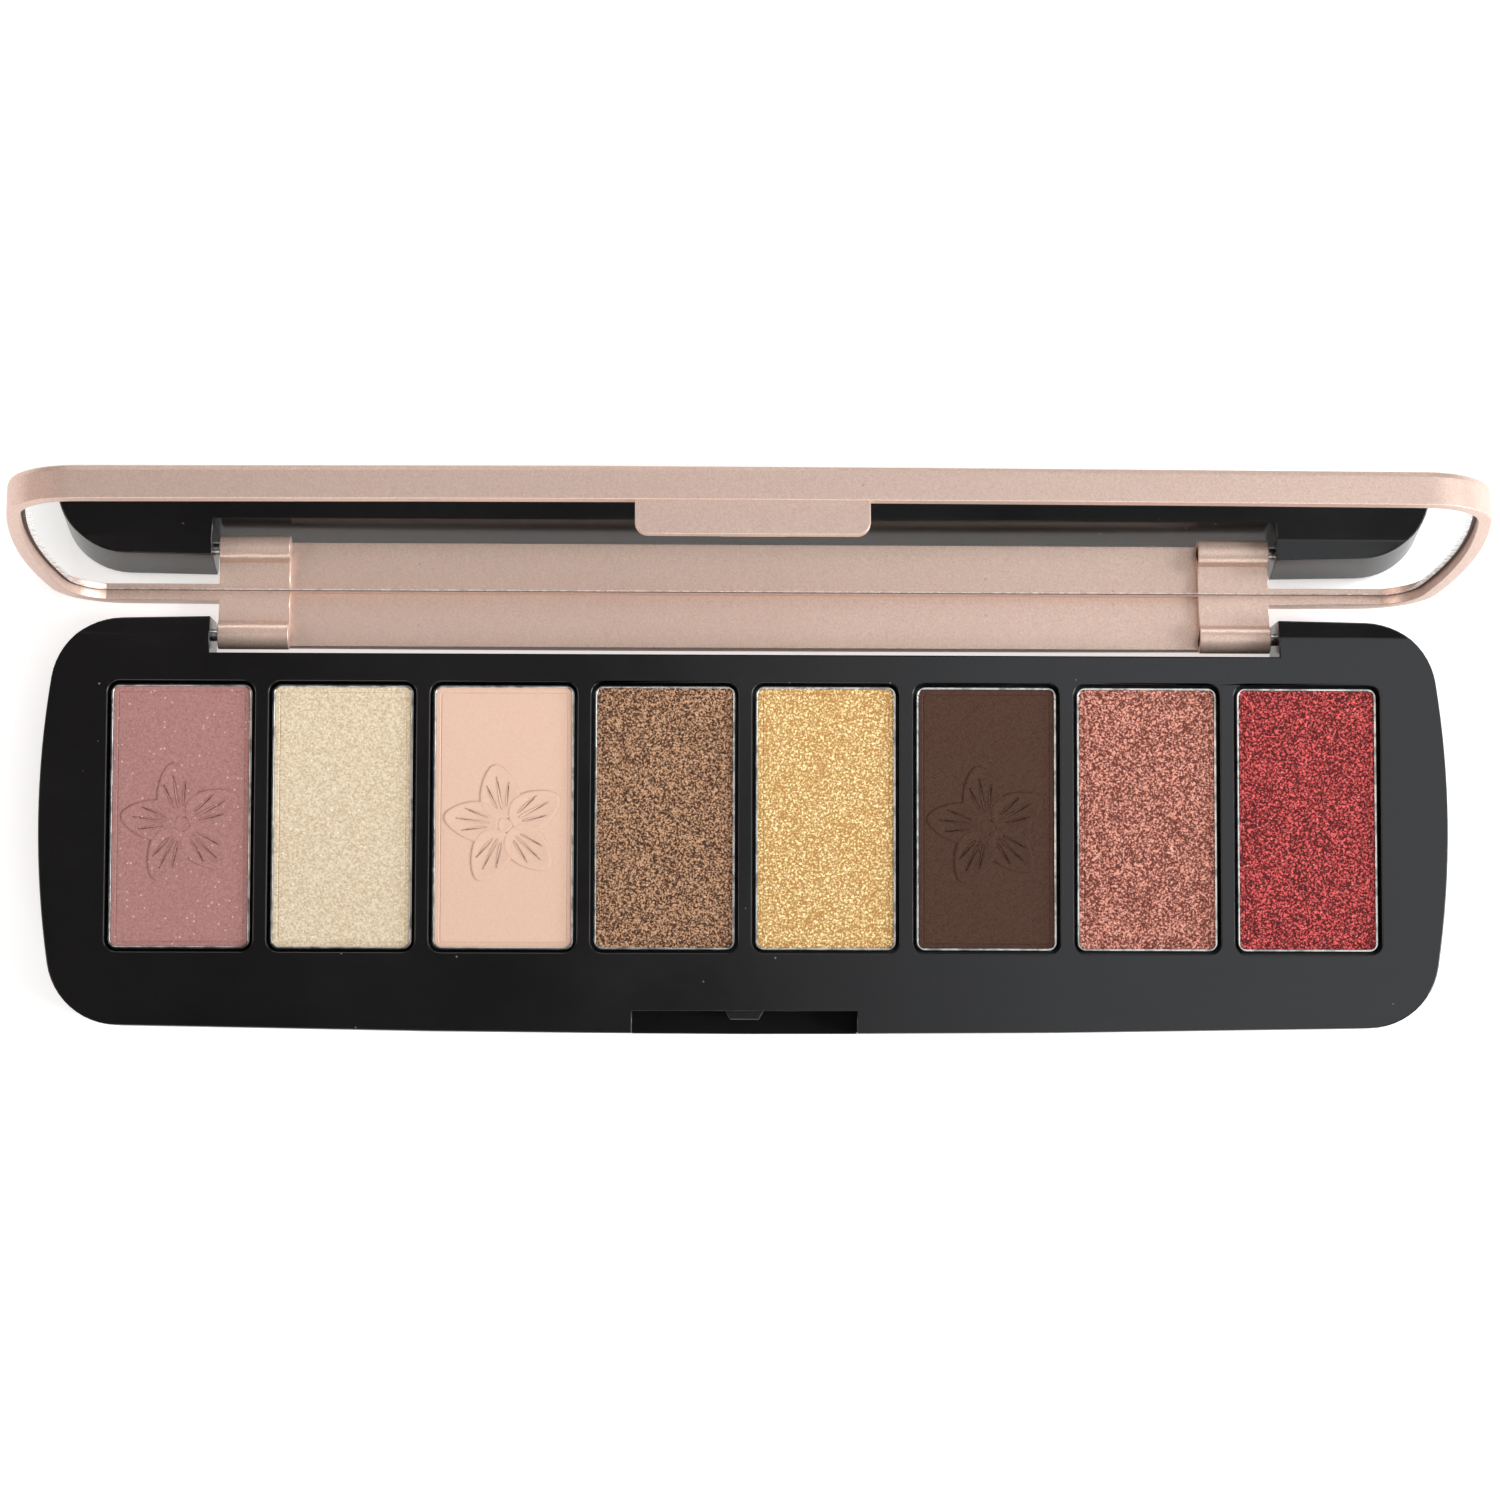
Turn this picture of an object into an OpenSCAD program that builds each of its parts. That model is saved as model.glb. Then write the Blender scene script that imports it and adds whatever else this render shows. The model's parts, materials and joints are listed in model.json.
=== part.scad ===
// Open eyeshadow palette: a black tray with eight pans and a painted lid with a mirror, on two hinge pins.
// Millimetres. +Z is up, +Y points to the hinge, +X is to the right.
// The origin is on the underside, at the centre of the closed outline.

/* [Outline] */
// width over the curved sides
base_width = 140; // [120:1:170]
// depth over the middle of the front and back
base_depth = 41.9; // [40:0.1:52]
// radius of the bowed left and right sides
side_arc_r = 94; // [80:1:150]
// radius of the nearly straight front and back
front_arc_r = 2780; // [1500:10:4000]
// radius of the four corners
corner_r = 7.15; // [5:0.05:10]

/* [Tray] */
// height of the tray
base_height = 7.0; // [6.6:0.1:9]
// thickness of the outer wall
wall = 1.5; // [1.2:0.1:2]
// thickness of the top deck
deck = 1.2; // [0.9:0.1:1.6]
// thickness of the floor under each pan
well_floor = 0.9; // [0.7:0.1:1.2]
// wall around the row of wells, the latch recess and the hinge notch
inner_wall = 1.0; // [0.8:0.1:1.4]
// width and height of the bevel round the lower edge
foot_bevel = 0.6; // [0.3:0.1:0.8]

/* [Pans] */
// number of pans in the row
pan_count = 8; // [8:1:8]
// width of a pan
pan_width = 14.0; // [11:0.1:14.2]
// length of a pan
pan_length = 26.3; // [20:0.1:26.6]
// height of a pan
pan_height = 3.0; // [2:0.1:3.1]
// sheet thickness of a pan
pan_sheet = 0.25; // [0.2:0.05:0.4]
// corner radius of a pan
pan_corner_r = 0.9; // [0.6:0.1:2]
// gap between a pan and its well, on each side
pan_clearance = 0.3; // [0.15:0.05:0.4]
// distance from one pan to the next, centre to centre
pan_pitch = 16.0; // [15.8:0.1:16.4]
// distance of the pan row behind the centre
pan_offset_y = 0.45; // [0:0.05:0.6]
// depth of the wells below the deck surface
well_depth = 3.6; // [3.3:0.1:4]
// depth of the pressed powder below the rim of its pan
powder_recess = 0.15; // [0.1:0.05:0.4]
// thickness of a glue dot under a pan
glue_thickness = 0.15; // [0.1:0.05:0.2]
// diameter of a glue dot
glue_dia = 4; // [2:0.5:8]

/* [Bottom cover] */
// thickness of the bottom cover
cover_thickness = 1.2; // [1:0.1:1.4]
// gap between the cover and the tray wall
cover_clearance = 0.1; // [0.05:0.05:0.2]
// diameter of the pegs that hold the cover
peg_dia = 1.6; // [1.2:0.1:2]
// length of the pegs
peg_length = 2.6; // [2:0.1:3.2]
// wall of the bosses that take the pegs
boss_wall = 0.8; // [0.6:0.1:1]
// distance of the front pegs from the middle, inner pair
peg_inner_x = 24; // [18:1:30]
// distance of the front pegs from the middle, outer pair
peg_outer_x = 52; // [44:1:56]
// distance of the rear pegs inside the rounded corners of the tray
peg_corner_in = 4.3; // [4:0.1:4.6]
// width of the blank label
label_width = 60; // [30:1:80]
// depth of the blank label
label_depth = 12; // [8:1:14]
// distance of the middle of the label in front of the centre
label_offset = 9.5; // [8:0.5:10]
// thickness of the blank label
label_thickness = 0.12; // [0.08:0.02:0.16]
// depth of the pocket that takes the label
label_pocket = 0.2; // [0.18:0.02:0.3]

/* [Hinge] */
// distance of the hinge axis in front of the rear edge of the ears
axis_inset = 1.65; // [1.5:0.05:1.8]
// height of the hinge axis above the table
axis_height = 3.5; // [3.3:0.05:3.7]
// outer radius of the hinge barrels
barrel_r = 1.4; // [1.2:0.05:1.5]
// width of each hinge barrel and its block
barrel_width = 7.1; // [6:0.1:10]
// diameter of the hinge pins
pin_dia = 1.2; // [1:0.05:1.3]
// gap between a pin and its barrel bore, on each side
pin_clearance = 0.05; // [0.03:0.01:0.08]
// length of each hinge pin
pin_length = 11.5; // [10:0.1:12.5]
// length of a pin that is pressed into the ear
pin_press = 5.5; // [4.5:0.1:6]
// width of each ear beside the hinge notch, measured on the overall width
ear_width = 16.7; // [14:0.1:20]
// gap between a barrel and its ear
ear_gap = 0.5; // [0.3:0.05:0.8]
// distance of the front wall of the notch in front of the hinge axis
notch_reach = 2.07; // [1.8:0.01:2.3]
// width of the bevel on the rear top edge of the ears
ear_bevel_width = 1.8; // [1.7:0.1:2.2]
// drop of the bevel at the rear edge of the ears
ear_bevel_drop = 0.7; // [0.6:0.05:1]
// angle of the lid in the rest pose, from closed
open_angle = 97.1; // [0:0.1:100]

/* [Lid] */
// gap between the closed lid and the tray
lid_gap = 0.1; // [0.05:0.05:0.3]
// height of the lid from its rim to its outer face
lid_height = 3.3; // [3.1:0.1:4]
// thickness of the lid wall at the front and sides
lid_wall = 1.27; // [1:0.01:1.5]
// thickness of the rear wall of the lid and of the hinge blocks
lid_rear_wall = 1.9; // [1.8:0.05:2.1]
// radius of the outer edge of the lid, cut as two bevels
lid_edge = 0.6; // [0.3:0.1:0.9]
// thickness of the hinge flap at its ends
flap_thickness = 1.0; // [0.9:0.05:1.02]
// distance of the free edge of the flap beyond the hinge axis
flap_drop = 0.95; // [0.8:0.05:1.2]

/* [Mirror] */
// thickness of the mirror
mirror_thickness = 1.1; // [1:0.1:1.3]
// depth of the mirror face below the rim of the lid
mirror_depth = 0.86; // [0.8:0.01:1]
// gap between the mirror and the lid, on each side
mirror_clearance = 0.1; // [0.08:0.01:0.2]
// gap between the lower edge of the mirror and the rear wall of the lid
mirror_foot_gap = 0.4; // [0.15:0.05:0.6]
// thickness of the adhesive behind the mirror
adhesive_thickness = 0.15; // [0.1:0.05:0.2]
// distance of the adhesive inside the edge of the mirror
adhesive_inset = 2; // [1:0.5:4]

/* [Latch] */
// width of the tongue on the lid
tongue_width = 21.5; // [16:0.1:26]
// length of the tongue beyond the rim
tongue_length = 3.2; // [2.8:0.1:3.3]
// thickness of the tongue
tongue_thickness = 1.0; // [0.8:0.05:1.1]
// step from the outer face of the lid to the tongue
tongue_inset = 0.2; // [0.1:0.05:0.3]
// corner radius of the tongue
tongue_corner_r = 1.2; // [0.6:0.1:1.6]
// gap between the tongue and the recess, at each end
tongue_clearance = 0.4; // [0.3:0.05:0.6]
// depth of the latch recess behind the front edge
recess_depth = 2.25; // [2.15:0.05:2.6]
// gap between the tip of the closed tongue and the recess floor
tongue_tip_gap = 0.3; // [0.2:0.1:0.5]
// distance the catch stands out of the recess wall
catch_reach = 0.85; // [0.6:0.05:0.95]
// width of the catch at its root
catch_width = 4.4; // [3:0.1:6]
// width of the catch at its tip
catch_tip_width = 2.9; // [2:0.1:4.4]
// height of the catch
catch_height = 1.2; // [0.8:0.1:1.4]
// distance of the catch below the deck surface
catch_drop = 0.9; // [0.6:0.1:1.2]
// distance the snap rib stands out of the tongue
rib_reach = 0.1; // [0.05:0.05:0.15]
// width of the snap rib
rib_width = 6; // [4:0.1:10]
// height of the snap rib
rib_height = 0.5; // [0.3:0.1:0.7]

/* [Hidden] */
// facets on pins and bores
round_fn = 48;
// facets on the corners of the pans and on the glue dots
corner_fn = 32;
// points on each corner of the outline
corner_steps = 12;
// points on half a side and on half a front
edge_steps = 8;
// overlap of a cut beyond the face it opens
over = 0.5;

half_w = base_width / 2;
half_d = base_depth / 2;
// centre of the right side arc on X and of the rear arc on Y
side_cx = half_w - side_arc_r;
rear_cy = half_d - front_arc_r;
// the corner centre lies on both arcs moved inwards by the corner radius
side_ri = side_arc_r - corner_r;
rear_ri = front_arc_r - corner_r;
centre_gap = norm([side_cx, rear_cy]);
along = (side_ri * side_ri - rear_ri * rear_ri + centre_gap * centre_gap) / (2 * centre_gap);
across = sqrt(side_ri * side_ri - along * along);
corner_x = side_cx - along * side_cx / centre_gap - across * rear_cy / centre_gap;
corner_y = along * rear_cy / centre_gap - across * side_cx / centre_gap;
side_end = atan2(corner_y, corner_x - side_cx);
rear_start = atan2(corner_y - rear_cy, corner_x);

// one quarter of the outline, moved inwards by d
function quarter(d) = concat(
    [for (i = [0 : edge_steps]) let (a = side_end * i / edge_steps)
        [side_cx + (side_arc_r - d) * cos(a), (side_arc_r - d) * sin(a)]],
    [for (i = [1 : corner_steps]) let (a = side_end + (rear_start - side_end) * i / corner_steps)
        [corner_x + (corner_r - d) * cos(a), corner_y + (corner_r - d) * sin(a)]],
    [for (i = [1 : edge_steps]) let (a = rear_start + (90 - rear_start) * i / edge_steps)
        [(front_arc_r - d) * cos(a), rear_cy + (front_arc_r - d) * sin(a)]]);
function half_of(q) = concat(q, [for (i = [len(q) - 2 : -1 : 0]) [-q[i][0], q[i][1]]]);
function front_of(p) = [for (i = [len(p) - 2 : -1 : 1]) [p[i][0], -p[i][1]]];
function ring(q) = concat(half_of(q), front_of(half_of(q)));

// rear edge of the outline at a distance x from the middle
function rear_y(x) = rear_cy + sqrt(front_arc_r * front_arc_r - x * x);

notch_half = half_w - ear_width;
axis_y = rear_y(notch_half) - axis_inset;
notch_y = axis_y - notch_reach;
barrel_out = notch_half - ear_gap;
barrel_in = barrel_out - barrel_width;
// outer end of each pin, at the bottom of its hole in the ear
pin_out = notch_half + pin_press;

well_w = pan_width + 2 * pan_clearance;
well_l = pan_length + 2 * pan_clearance;
well_r = pan_corner_r + pan_clearance;
well_z = base_height - well_depth;
row_w = (pan_count - 1) * pan_pitch + well_w;
pan_z = well_z + glue_thickness;
cake_z = pan_z + pan_sheet;
cake_h = pan_height - pan_sheet - powder_recess;
// inside of a pan, which its powder fills
inner_w = pan_width - 2 * pan_sheet;
inner_l = pan_length - 2 * pan_sheet;
inner_r = pan_corner_r - pan_sheet;

recess_half = tongue_width / 2 + tongue_clearance;
recess_back = -half_d + recess_depth;
rim_z = base_height + lid_gap;
recess_floor = rim_z - tongue_length - tongue_tip_gap;

boss_r = peg_dia / 2 + boss_wall;
front_peg_y = (-half_d + wall + pan_offset_y - well_l / 2 - inner_wall) / 2;
peg_corner_out = (corner_r - peg_corner_in) * cos(45);
rear_peg = [corner_x + peg_corner_out, corner_y + peg_corner_out];
peg_spots = [[-peg_outer_x, front_peg_y], [-peg_inner_x, front_peg_y], [peg_inner_x, front_peg_y],
    [peg_outer_x, front_peg_y], [-rear_peg[0], rear_peg[1]], rear_peg];

lid_top = rim_z + lid_height;
mirror_z = rim_z + mirror_depth;
mirror_y = rear_y(notch_half) - lid_rear_wall;
pocket_depth = mirror_depth + mirror_thickness + adhesive_thickness;
flap_y = rear_y(notch_half) - flap_thickness;
tongue_y = -half_d + tongue_inset;

black = [0.03, 0.03, 0.035];
rose = [0.72, 0.60, 0.53];
steel = [0.75, 0.76, 0.78];
silver = [0.85, 0.87, 0.90];
shade_colours = [[0.68, 0.50, 0.48], [0.89, 0.81, 0.69], [0.90, 0.76, 0.68], [0.59, 0.45, 0.36],
    [0.87, 0.73, 0.51], [0.33, 0.24, 0.20], [0.69, 0.46, 0.41], [0.63, 0.27, 0.27]];

module outline(d = 0) {
    polygon(ring(quarter(d)));
}

module slab(z, h, d = 0) {
    translate([0, 0, z])
        linear_extrude(h)
            outline(d);
}

module box(x0, x1, y0, y1, z0, z1) {
    translate([x0, y0, z0])
        cube([x1 - x0, y1 - y0, z1 - z0]);
}

module round_box(w, l, h, r) {
    linear_extrude(h)
        rounded_rect(w, l, r);
}

module rounded_rect(w, l, r) {
    square([w - 2 * r, l], center = true);
    square([w, l - 2 * r], center = true);
    for (sx = [-1, 1], sy = [-1, 1])
        translate([sx * (w / 2 - r), sy * (l / 2 - r)])
            circle(r, $fn = corner_fn);
}

function pan_x(i) = (i - (pan_count - 1) / 2) * pan_pitch;

module at_pan(i, z) {
    translate([pan_x(i), pan_offset_y, z])
        children();
}

module across_bar(x0, x1, y, z, r) {
    translate([x0, y, z])
        rotate([0, 90, 0])
            cylinder(r = r, h = x1 - x0, $fn = round_fn);
}

// the hollow space of the tray, open below
module tray_hollow() {
    difference() {
        translate([0, 0, -over])
            linear_extrude(base_height - deck + over)
                outline(wall);
        // what stays solid inside: wells, notch wall, ears, recess and bosses
        translate([0, pan_offset_y, well_z - well_floor])
            linear_extrude(base_height)
                square([row_w + 2 * inner_wall, well_l + 2 * inner_wall], center = true);
        box(-half_w, half_w, notch_y - inner_wall, half_d + over, cover_thickness, base_height);
        box(-notch_half - inner_wall, notch_half + inner_wall, notch_y - inner_wall, half_d + over,
            -2 * over, base_height);
        box(-recess_half - inner_wall, recess_half + inner_wall, -half_d - over, recess_back + inner_wall,
            cover_thickness, base_height);
        for (p = peg_spots)
            translate([p[0], p[1], cover_thickness])
                cylinder(r = boss_r, h = base_height, $fn = round_fn);
    }
}

module latch_recess() {
    box(-recess_half, recess_half, -half_d - over, recess_back, recess_floor, base_height + over);
}

module catch() {
    translate([0, recess_back, base_height - catch_drop - catch_height])
        linear_extrude(catch_height)
            polygon([[-catch_width / 2, over], [-catch_tip_width / 2, -catch_reach],
                [catch_tip_width / 2, -catch_reach], [catch_width / 2, over]]);
}

// bevel along the rear top edge of the ears
module ear_bevel() {
    rear = rear_y(notch_half);
    rotate([90, 0, 90])
        translate([0, 0, -half_w])
            linear_extrude(base_width)
                polygon([[rear - ear_bevel_width, base_height],
                    [rear + over, base_height - ear_bevel_drop * (1 + over / ear_bevel_width)],
                    [rear + over, base_height + over], [rear - ear_bevel_width, base_height + over]]);
}

module base_tray() {
    color(black)
    difference() {
        hull() {
            slab(0, foot_bevel, foot_bevel);
            slab(foot_bevel, base_height - foot_bevel);
        }
        tray_hollow();
        for (i = [0 : pan_count - 1])
            at_pan(i, well_z)
                round_box(well_w, well_l, well_depth + over, well_r);
        box(-notch_half, notch_half, notch_y, half_d + over, -over, base_height + over);
        ear_bevel();
        difference() {
            latch_recess();
            catch();
        }
        for (p = peg_spots)
            translate([p[0], p[1], cover_thickness - over])
                cylinder(d = peg_dia, h = peg_length + 2 * over, $fn = round_fn);
        across_bar(-pin_out, over - notch_half, axis_y, axis_height, pin_dia / 2);
        across_bar(notch_half - over, pin_out, axis_y, axis_height, pin_dia / 2);
    }
}

module base_cover() {
    color(black)
    difference() {
        union() {
            difference() {
                slab(0, cover_thickness, wall + cover_clearance);
                box(-notch_half - inner_wall - cover_clearance, notch_half + inner_wall + cover_clearance,
                    notch_y - inner_wall - cover_clearance, half_d + over, -over, cover_thickness + over);
            }
            for (p = peg_spots)
                translate([p[0], p[1], 0])
                    cylinder(d = peg_dia, h = cover_thickness + peg_length, $fn = round_fn);
        }
        translate([0, -label_offset, -over])
            linear_extrude(label_pocket + over)
                square([label_width + 2 * cover_clearance, label_depth + 2 * cover_clearance], center = true);
    }
}

module bottom_label() {
    color([0.9, 0.9, 0.88])
    translate([-label_width / 2, -label_offset - label_depth / 2, label_pocket - label_thickness])
        cube([label_width, label_depth, label_thickness]);
}

module pan_glue() {
    color([0.85, 0.8, 0.6])
    for (i = [0 : pan_count - 1], s = [-1, 1])
        translate([pan_x(i), pan_offset_y + s * pan_length / 4, well_z])
            cylinder(d = glue_dia, h = glue_thickness, $fn = corner_fn);
}

module pan(i) {
    color(steel)
    at_pan(i, pan_z)
        difference() {
            round_box(pan_width, pan_length, pan_height, pan_corner_r);
            translate([0, 0, pan_sheet])
                round_box(inner_w, inner_l, pan_height, inner_r);
        }
}

module shade(i) {
    color(shade_colours[i])
    at_pan(i, cake_z)
        round_box(inner_w, inner_l, cake_h, inner_r);
}

module pan_1() { pan(0); }
module pan_2() { pan(1); }
module pan_3() { pan(2); }
module pan_4() { pan(3); }
module pan_5() { pan(4); }
module pan_6() { pan(5); }
module pan_7() { pan(6); }
module pan_8() { pan(7); }
module shade_1() { shade(0); }
module shade_2() { shade(1); }
module shade_3() { shade(2); }
module shade_4() { shade(3); }
module shade_5() { shade(4); }
module shade_6() { shade(5); }
module shade_7() { shade(6); }
module shade_8() { shade(7); }

module hinge_pin_left() {
    color(steel)
    across_bar(-pin_out, pin_length - pin_out, axis_y, axis_height, pin_dia / 2);
}

module hinge_pin_right() {
    color(steel)
    across_bar(pin_out - pin_length, pin_out, axis_y, axis_height, pin_dia / 2);
}

// turns what is drawn in the closed place to the rest pose
module opened() {
    translate([0, axis_y, axis_height])
        rotate([-open_angle, 0, 0])
            translate([0, -axis_y, -axis_height])
                children();
}

// outline of the mirror pocket, moved inwards by d, and by foot along the rear wall
module pocket_outline(d = 0, foot = 0) {
    intersection() {
        outline(lid_wall + d);
        translate([-half_w, -half_d])
            square([base_width, half_d + mirror_y - foot]);
    }
}

// the flap that reaches down into the hinge notch, with its two blocks
module flap() {
    intersection() {
        slab(axis_height - flap_drop, rim_z - axis_height + flap_drop + over);
        union() {
            box(-barrel_out, barrel_out, flap_y, half_d + over, 0, lid_top);
            for (s = [-1, 1])
                translate([s * (barrel_out + barrel_in) / 2 - barrel_width / 2, mirror_y, axis_height])
                    cube([barrel_width, half_d, lid_top]);
        }
    }
    for (s = [-1, 1])
        translate([s * (barrel_out + barrel_in) / 2, 0, 0])
            across_bar(-barrel_width / 2, barrel_width / 2, axis_y, axis_height, barrel_r);
}

module tongue() {
    translate([0, tongue_y + tongue_thickness, rim_z])
        rotate([90, 0, 0])
            linear_extrude(tongue_thickness)
                difference() {
                    translate([0, (lid_height / 2 - tongue_length) / 2])
                        rounded_rect(tongue_width, tongue_length + lid_height / 2, tongue_corner_r);
                    translate([-tongue_width, over / 2])
                        square([2 * tongue_width, lid_height]);
                }
    translate([-rib_width / 2, tongue_y + tongue_thickness - over / 2, rim_z - tongue_length])
        cube([rib_width, rib_reach + over / 2, rib_height]);
}

module lid_shell() {
    color(rose)
    opened()
        difference() {
            union() {
                // the middle slab touches the rounding where it slopes at 45 degrees
                hull() {
                    slab(rim_z, lid_height - lid_edge);
                    slab(rim_z, lid_height - lid_edge * (1 - cos(45)), lid_edge * (1 - cos(45)));
                    slab(rim_z, lid_height, lid_edge);
                }
                flap();
                tongue();
            }
            translate([0, 0, rim_z - over])
                linear_extrude(pocket_depth + over)
                    difference() {
                        pocket_outline();
                        translate([-recess_half, -half_d])
                            square([2 * recess_half, tongue_inset + tongue_thickness]);
                    }
            // the middle of the rear wall is cut back to the face of the flap
            box(-barrel_in, barrel_in, mirror_y - over, flap_y, 0, mirror_z);
            across_bar(-half_w, half_w, axis_y, axis_height, pin_dia / 2 + pin_clearance);
        }
}

module mirror() {
    color(silver)
    opened()
        translate([0, 0, mirror_z])
            linear_extrude(mirror_thickness)
                pocket_outline(mirror_clearance, mirror_foot_gap);
}

module mirror_adhesive() {
    color([0.8, 0.8, 0.8])
    opened()
        translate([0, 0, mirror_z + mirror_thickness])
            linear_extrude(adhesive_thickness)
                pocket_outline(mirror_clearance + adhesive_inset, mirror_foot_gap + adhesive_inset);
}

base_tray();
base_cover();
bottom_label();
pan_glue();
pan_1();
pan_2();
pan_3();
pan_4();
pan_5();
pan_6();
pan_7();
pan_8();
shade_1();
shade_2();
shade_3();
shade_4();
shade_5();
shade_6();
shade_7();
shade_8();
hinge_pin_left();
hinge_pin_right();
lid_shell();
mirror();
mirror_adhesive();
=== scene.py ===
"""Looks of an open eyeshadow palette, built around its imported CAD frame."""

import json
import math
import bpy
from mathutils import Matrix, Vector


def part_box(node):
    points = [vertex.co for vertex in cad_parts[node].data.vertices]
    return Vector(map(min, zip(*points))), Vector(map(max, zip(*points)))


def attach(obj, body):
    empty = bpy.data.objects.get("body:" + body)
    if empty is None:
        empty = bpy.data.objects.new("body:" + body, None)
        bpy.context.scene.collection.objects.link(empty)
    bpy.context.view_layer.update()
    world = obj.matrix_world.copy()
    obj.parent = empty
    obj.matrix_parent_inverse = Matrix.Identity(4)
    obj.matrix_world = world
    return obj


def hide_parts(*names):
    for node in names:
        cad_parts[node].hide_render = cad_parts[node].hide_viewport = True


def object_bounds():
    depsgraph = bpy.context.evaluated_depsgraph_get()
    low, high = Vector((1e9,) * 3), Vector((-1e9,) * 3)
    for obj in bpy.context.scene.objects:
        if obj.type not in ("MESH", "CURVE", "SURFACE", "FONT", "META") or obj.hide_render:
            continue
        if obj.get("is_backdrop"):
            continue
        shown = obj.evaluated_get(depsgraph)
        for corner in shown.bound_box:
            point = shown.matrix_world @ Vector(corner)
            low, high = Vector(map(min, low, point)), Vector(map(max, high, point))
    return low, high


bl_info = {
    "name": "Eyeshadow palette",
    "version": (1, 0, 0),
    "blender": (4, 5, 0),
    "location": "View3D > Sidebar > Palette",
    "description": "Builds the tray, pans, powders, lid and mirror of an eyeshadow palette",
    "category": "Add Mesh",
}

from collections import namedtuple

import bmesh
import bpy
from bpy.props import FloatProperty, FloatVectorProperty, IntProperty, PointerProperty
from mathutils import Matrix, Vector

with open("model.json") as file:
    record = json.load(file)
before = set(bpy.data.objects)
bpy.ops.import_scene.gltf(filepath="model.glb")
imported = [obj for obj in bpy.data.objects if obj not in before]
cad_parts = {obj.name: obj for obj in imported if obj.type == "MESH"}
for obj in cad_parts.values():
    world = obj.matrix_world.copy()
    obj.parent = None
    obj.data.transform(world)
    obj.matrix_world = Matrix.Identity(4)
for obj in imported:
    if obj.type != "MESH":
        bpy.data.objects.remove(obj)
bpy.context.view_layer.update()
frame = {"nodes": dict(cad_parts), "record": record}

MM = 0.001
JOINT = frame["record"]["behaviour"]["joints"][0]
OPEN_ANGLE = math.radians(-JOINT["range_deg"][0])
SHADE_NAMES = ("mauve", "champagne", "peach", "taupe", "gold", "brown", "copper", "red")
BLOSSOM_SHADES = ("mauve", "peach", "brown")

# elevation, yaw and roll of the camera in degrees
CAMERA_ANGLES = (85.301, -13.326, 13.511)
CAMERA_DISTANCE = 407.288 * MM
CAMERA_AIM = Vector((0.455, 7.187, 7.0)) * MM

Lamp = namedtuple("Lamp", "place target size watts tint")
LAMPS = {
    "key_right": Lamp((0.62, 0.10, 0.95), (0.02, 0, 0), (0.80, 1.3), 4.9, (0.92, 0.97, 1.0)),
    "side_right": Lamp((1.15, -0.25, 0.62), (0, 0, 0), (0.5, 0.7), 17.0, (0.95, 0.98, 1.0)),
    "side_left": Lamp((-1.15, -0.15, 0.75), (0, 0, 0), (0.6, 0.8), 7.0, (1.0, 0.86, 0.79)),
    "front": Lamp((0.1, -1.25, 0.75), (0, 0, 0), (1.0, 0.6), 8.0, (1, 1, 1)),
    "rear": Lamp((0.0, 1.3, 0.9), (0, 0.1, 0), (1.2, 0.6), 4.0, (1, 1, 1)),
}


# ---------------------------------------------------------------- settings


def colour(name, text, value):
    """A colour setting, scene linear."""
    return FloatVectorProperty(
        name=name, description=text, default=value, subtype="COLOR", size=3, min=0, max=1
    )


def length(name, text, value):
    """A length setting in metres."""
    return FloatProperty(
        name=name, description=text, default=value, unit="LENGTH", subtype="DISTANCE", min=0,
        precision=5,
    )


class PaletteShell(bpy.types.PropertyGroup):
    """Finish of the tray, the lid and the mirror."""

    tray_colour: colour("Tray", "Colour of the black plastic", (0.0052, 0.0046, 0.0050))
    paint_colour: colour("Lid paint", "Colour of the metallic lid paint", (0.755, 0.545, 0.455))
    tray_round: length("Tray edge", "Rounding of the edges of the tray", 0.14 * MM)
    recess_reach: length("Recess", "Depth behind the front edge that holds the recess floor", 3.0 * MM)
    recess_margin: length("Recess margin", "Least distance of the recess floor from the foot", 1.5 * MM)
    lid_round: length("Lid edge", "Rounding of the edges of the lid", 0.09 * MM)
    # painted shade: the dark seam stands for the shaded gap between the mirror and the lid wall
    mirror_gap_shade: length("Mirror gap shade", "Width of the dark seam at the edge of the mirror", 0.32 * MM)
    mirror_bevel: length("Mirror edge", "Width of the ground edge inside the seam", 0.60 * MM)
    mirror_rise: length("Mirror rise", "Height of the mirror face above its ground edge", 0.02 * MM)
    mirror_shade: length("Mirror shade", "Width of the shaded band along the top of the mirror", 2.0 * MM)


class PalettePans(bpy.types.PropertyGroup):
    """Shape of the pans and of the pressed powder."""

    sheet: length("Sheet", "Thickness of the pan metal", 0.25 * MM)
    corner: length("Corner", "Outer corner radius of a pan", 0.9 * MM)
    rim_round: length("Rim", "Rounding of the rim of a pan", 0.09 * MM)
    powder_round: length("Powder edge", "Rounding of the edges of the powder", 0.04 * MM)
    shoulder: length("Shoulder", "Width of the flat band along the edge of the powder", 0.12 * MM)
    ring_width: length("Ring", "Distance of the press line inside the powder edge", 0.30 * MM)
    ring_depth: length("Ring depth", "Depth of the press line", 0.07 * MM)


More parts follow.
